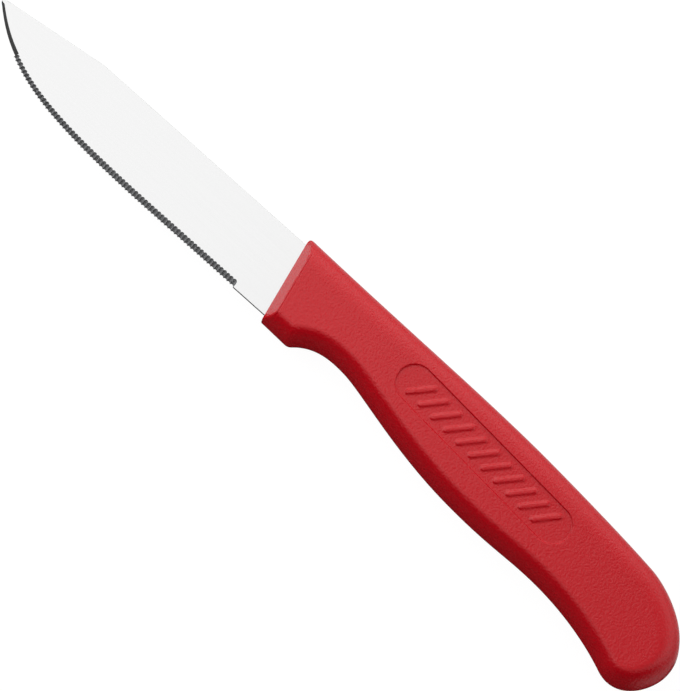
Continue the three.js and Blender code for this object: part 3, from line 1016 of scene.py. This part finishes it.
def studio_tables():
    """The light table that the camera sees, and the cards and the white table that light the knife."""
    light_table = flat_sheet("light_table_sheet", LIGHT_TABLE)
    light_table.visible_diffuse = False
    light_table.visible_glossy = False
    light_table.visible_shadow = False
    cards = [flat_sheet(name, card) for name, card in CARDS.items()]
    table = flat_sheet("white_table_top", WHITE_TABLE)
    for sheet in (*cards, table):
        sheet.visible_camera = False
    for card in cards:
        card.visible_diffuse = False
    return light_table, *cards, table


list(studio_tables())
print("under the knife: a light table,", len(CARDS), "cards and a white table")

# %% [markdown]
# ## Light
# A tall bright cloth stands on the side of the knife's back and bends over it as a dimmer ceiling. The
# other side is hung with dark cloth. Both are far away, so a world whose brightness depends on the
# direction draws them. A flat softbox hangs close above the blade, so that its light fades towards the
# butt, and a low panel on the dark side lifts the colour of the handle's lower edge. The panel is kept
# out of reflections, so it adds no gloss there.

# %% Cloth
CLOTH_TOWARD = (-0.25, 0.67, 0.7)
CLOTH_EDGE = 0.1
CLOTH_FOOT = (-0.03, 0.12)
CLOTH_BEND = (0.3, 1.0)
FOOT_SHARE = 0.03
CLOTH_LIGHT = 1.4
CEILING_LIGHT = 0.4
DARK_FOOT = (0.05, 0.4)
DARK_FOOT_LIGHT = 0.01
DARK_LIGHT = 0.02


def studio_cloth():
    """World whose brightness is a function of direction: its height, and which cloth it points to."""
    world = bpy.data.worlds.new("studio")
    world.use_nodes = True
    tree = world.node_tree
    direction = add_node(tree, "ShaderNodeTexCoord").outputs["Generated"]

    def along(axis):
        """How far the direction points along an axis: their dot product."""
        dot = add_node(tree, "ShaderNodeVectorMath", {0: direction, 1: axis}, operation="DOT_PRODUCT")
        return dot.outputs["Value"]

    def step(value, limits, low, high):
        """Smooth step from low to high while a value passes from one limit to the other."""
        return add_node(tree, "ShaderNodeMapRange", {
            "Value": value,
            "From Min": limits[0],
            "From Max": limits[1],
            "To Min": low,
            "To Max": high,
        }, interpolation_type="SMOOTHSTEP").outputs["Result"]

    height = along((0, 0, 1))
    foot = step(height, CLOTH_FOOT, FOOT_SHARE, 1.0)
    bend = step(height, CLOTH_BEND, CLOTH_LIGHT, CEILING_LIGHT)
    bright = add_node(tree, "ShaderNodeMath", {0: foot, 1: bend}, operation="MULTIPLY").outputs["Value"]
    light = add_node(tree, "ShaderNodeMix", {
        "Factor": step(along(CLOTH_TOWARD), (-CLOTH_EDGE, CLOTH_EDGE), 0.0, 1.0),
        "A": step(height, DARK_FOOT, DARK_FOOT_LIGHT, DARK_LIGHT),
        "B": bright,
    }, data_type="FLOAT").outputs["Result"]
    background = tree.nodes["Background"]
    background.inputs["Color"].default_value = WHITE
    tree.links.new(light, background.inputs["Strength"])
    return world


bpy.context.scene.world = studio_cloth()
bpy.context.scene.view_settings.view_transform = "Standard"
print("cloth", CLOTH_LIGHT, "and ceiling", CEILING_LIGHT)

# %% Softbox and fill
SOFTBOX_PLACE = (-0.376, 0.25, 0.3)
SOFTBOX_SIZE = (0.8, 0.8)
SOFTBOX_LIGHT = 1.1
FILL_PLACE = (0.05, -0.85, 0.2)
FILL_SIZE = (0.8, 0.3)
FILL_LIGHT = 0.55


def light_panel(name, place, size, radiance, turn):
    """An area light that shines straight down, or sideways when turned about X. Its power is pi times
    area times radiance."""
    light = bpy.data.lights.new(name, "AREA")
    light.shape = "RECTANGLE"
    light.size, light.size_y = size
    light.energy = math.pi * size[0] * size[1] * radiance
    panel = bpy.data.objects.new(name, light)
    panel.location = place
    panel.rotation_euler = (turn, 0, 0)
    panel.visible_camera = False
    bpy.context.scene.collection.objects.link(panel)
    return panel


softbox = light_panel("flat_softbox", SOFTBOX_PLACE, SOFTBOX_SIZE, SOFTBOX_LIGHT, 0)
fill = light_panel("fill_panel", FILL_PLACE, FILL_SIZE, FILL_LIGHT, math.pi / 2)
fill.visible_glossy = False
print("softbox", round(softbox.data.energy, 2), "W, fill", round(fill.data.energy, 2), "W")

# %% [markdown]
# ## Camera
# The photograph was taken from almost straight above and far away. An orthographic camera would be
# close, but a long lens at a few metres keeps a trace of the real perspective. The width of a pixel on
# the knife and the pixel of the shared origin fix the framing.

# %% Camera
AZIMUTH = math.radians(42.14)
ELEVATION = math.radians(80)
IMAGE_WIDTH = 680
IMAGE_HEIGHT = 691
MM_PER_PIXEL = 0.20065
ORIGIN_PIXEL = (285.72, 280.79)
CAMERA_DISTANCE = 4.0
SENSOR_WIDTH = 36.0
VIEW_DEPTH = 100.0


def photo_camera():
    """Camera that looks at the middle of the image: the origin, moved by the pixels between the two."""
    back = np.array([
        math.sin(AZIMUTH) * math.cos(ELEVATION),
        -math.cos(AZIMUTH) * math.cos(ELEVATION),
        math.sin(ELEVATION),
    ])
    right = np.array([math.cos(AZIMUTH), math.sin(AZIMUTH), 0])
    up = np.cross(back, right)
    aside = (IMAGE_WIDTH / 2 - ORIGIN_PIXEL[0]) * MM_PER_PIXEL * MM
    down = (IMAGE_HEIGHT / 2 - ORIGIN_PIXEL[1]) * MM_PER_PIXEL * MM
    target = origin * MM + aside * right - down * up
    lens = bpy.data.cameras.new("photo_camera")
    lens.sensor_width = SENSOR_WIDTH
    lens.lens = SENSOR_WIDTH * CAMERA_DISTANCE / (IMAGE_HEIGHT * MM_PER_PIXEL * MM)
    lens.clip_end = VIEW_DEPTH
    camera = bpy.data.objects.new("photo_camera", lens)
    camera.location = target + CAMERA_DISTANCE * back
    camera.rotation_euler = (math.pi / 2 - ELEVATION, 0, AZIMUTH)
    bpy.context.scene.collection.objects.link(camera)
    return camera


bpy.context.scene.camera = photo_camera()
print("lens", round(bpy.context.scene.camera.data.lens), "mm")
